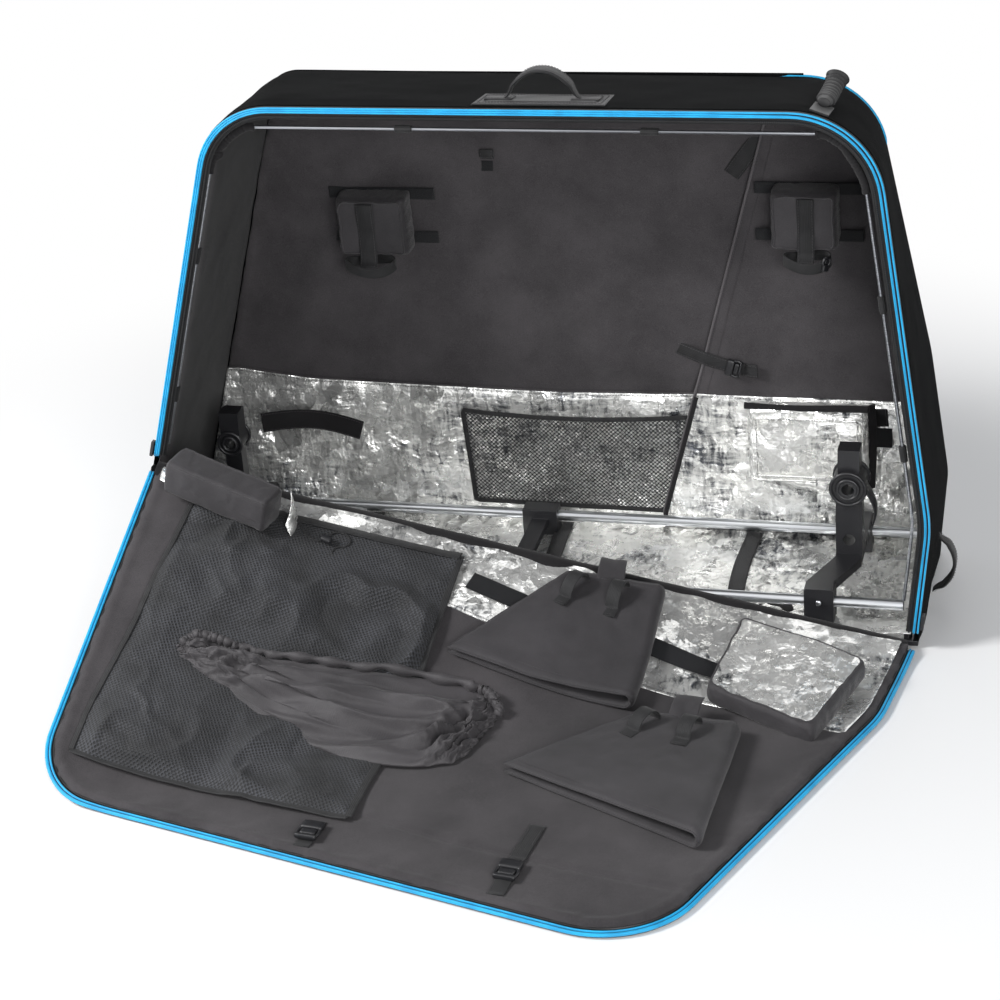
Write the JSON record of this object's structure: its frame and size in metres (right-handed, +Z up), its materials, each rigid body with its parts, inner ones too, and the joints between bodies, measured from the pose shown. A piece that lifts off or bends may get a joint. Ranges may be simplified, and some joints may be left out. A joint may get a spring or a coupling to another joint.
{
  "type": "soft bike travel bag",
  "caption": "Padded soft bike travel bag standing open, its front door folded down on the floor, with foil lining, pads, pockets, rails with sliding stands, handles and wheels",
  "frame": {"origin": "on the floor, at the middle of the base skids", "axes": "+X along the bag to the tow handle end, +Y from the door to the back wall, +Z up"},
  "size_m": [1.225, 1.0291, 0.8268],
  "materials": {
    "shell": "coarse black woven nylon",
    "liner": "charcoal brushed polyester lining",
    "foil": "crinkled aluminised foil lining",
    "blue": "cyan-blue zip tape and piping",
    "webbing": "black ribbed webbing",
    "net": "dark grey knitted mesh",
    "aluminium": "satin anodised tube",
    "plastic": "black moulded plastic, slight sheen",
    "rubber": "black moulded rubber",
    "steel": "dark zinc plated"
  },
  "bodies": {
    "bag": {"back_foil": "foil", "back_panel": "shell", "back_piping": "blue", "base_board": "plastic", "centre_bridge": "plastic", "corner_sleeve_left": "liner", "corner_sleeve_right": "liner", "floor_pad": "foil", "floor_strap_centre": "webbing", "floor_strap_left": "webbing", "floor_strap_right": "webbing", "foil_pad": "foil", "front_panel": "shell", "gusset_left": "shell", "gusset_right": "shell", "gusset_top": "shell", "handle_patch": "webbing", "hinge_seam": "webbing", "mesh_pocket": "net", "pocket_strap": "webbing", "rail_front": "aluminium", "rail_rear": "aluminium", "rim_piping": "blue", "rod_left": "steel", "rod_right": "steel", "rod_top": "steel", "skid_frame": "plastic", "tow_base": "webbing", "wall_pad_left": "liner", "wall_pad_right": "liner", "wheel_axle": "steel", "wheel_housing": "plastic", "wheel_pocket": "liner"},
    "door_lower": {"door_lower": "liner", "door_lower_piping": "blue", "door_lower_foil": "foil", "mesh_bag": "net", "mesh_bag_cord": "webbing", "cord_lock": "plastic", "chain_cover": "liner", "roll_pad": "liner", "frame_pad_far": "liner"},
    "door_upper": {"door_upper": "liner", "door_upper_piping": "blue", "door_upper_foil": "foil", "block_pad": "foil", "frame_pad_near": "liner", "mesh_bag_fold": "net", "door_strap_left": "webbing", "door_strap_right": "webbing"},
    "front_wheel": {"wheel_front": "rubber"},
    "rear_wheel": {"wheel_rear": "rubber"},
    "left_slider": {"zip_slider_left": "steel"},
    "right_slider": {"zip_slider_right": "steel"},
    "right_stand": {"stand_right": "plastic", "stand_right_bush": "steel"},
    "left_stand": {"stand_left": "plastic"},
    "carry_handle": {"top_handle": "webbing"},
    "tow_handle": {"tow_grip": "rubber"},
    "side_handle": {"end_handle": "webbing"}
  },
  "joints": [
    {"name": "door_fold", "type": "hinge", "parent": "bag", "child": "door_lower", "pos_m": [0.582, -0.15, 0.01], "axis": [-0.9793, 0, 0.2022], "range_deg": [0, 112.22]},
    {"name": "door_crease", "type": "hinge", "parent": "door_lower", "child": "door_upper", "pos_m": [0.582, -0.15, 0.01], "axis": [-0.8962, -0.4436, 0], "range_deg": [-24.98, 0]},
    {"name": "front_wheel_spin", "type": "hinge", "parent": "bag", "child": "front_wheel", "pos_m": [-0.566, -0.0777, 0.034], "axis": [0, 1, 0], "continuous": true},
    {"name": "rear_wheel_spin", "type": "hinge", "parent": "bag", "child": "rear_wheel", "pos_m": [-0.566, 0.095, 0.034], "axis": [0, 1, 0], "continuous": true},
    {"name": "left_slider_run", "type": "slide", "parent": "bag", "child": "left_slider", "axis": [0.2713, 0, 0.9625], "range_m": [0, 0.36]},
    {"name": "right_slider_run", "type": "slide", "parent": "bag", "child": "right_slider", "axis": [0.0962, 0, 0.9954], "range_m": [0, 0.09]},
    {"name": "right_stand_slide", "type": "slide", "parent": "bag", "child": "right_stand", "axis": [1, 0, 0], "range_m": [-0.22, 0.03]},
    {"name": "left_stand_slide", "type": "slide", "parent": "bag", "child": "left_stand", "axis": [1, 0, 0], "range_m": [-0.01, 0.22]},
    {"name": "carry_handle_swing", "type": "hinge", "parent": "bag", "child": "carry_handle", "pos_m": [0.08005, -0.10105, 0.78771], "axis": [1, 0, 0], "range_deg": [-75, 75]},
    {"name": "tow_handle_lift", "type": "hinge", "parent": "bag", "child": "tow_handle", "pos_m": [0.45277, -0.09735, 0.78448], "axis": [0.9472, -0.0495, -0.3167], "range_deg": [0, 100]},
    {"name": "side_handle_swing", "type": "hinge", "parent": "bag", "child": "side_handle", "pos_m": [0.59427, 0, 0.06641], "axis": [0.0886, 0, 0.9961], "range_deg": [-75, 75]}
  ],
  "couplings": [
    {"joint": "door_crease", "follows": "door_fold", "ratio": -0.22239}
  ]
}
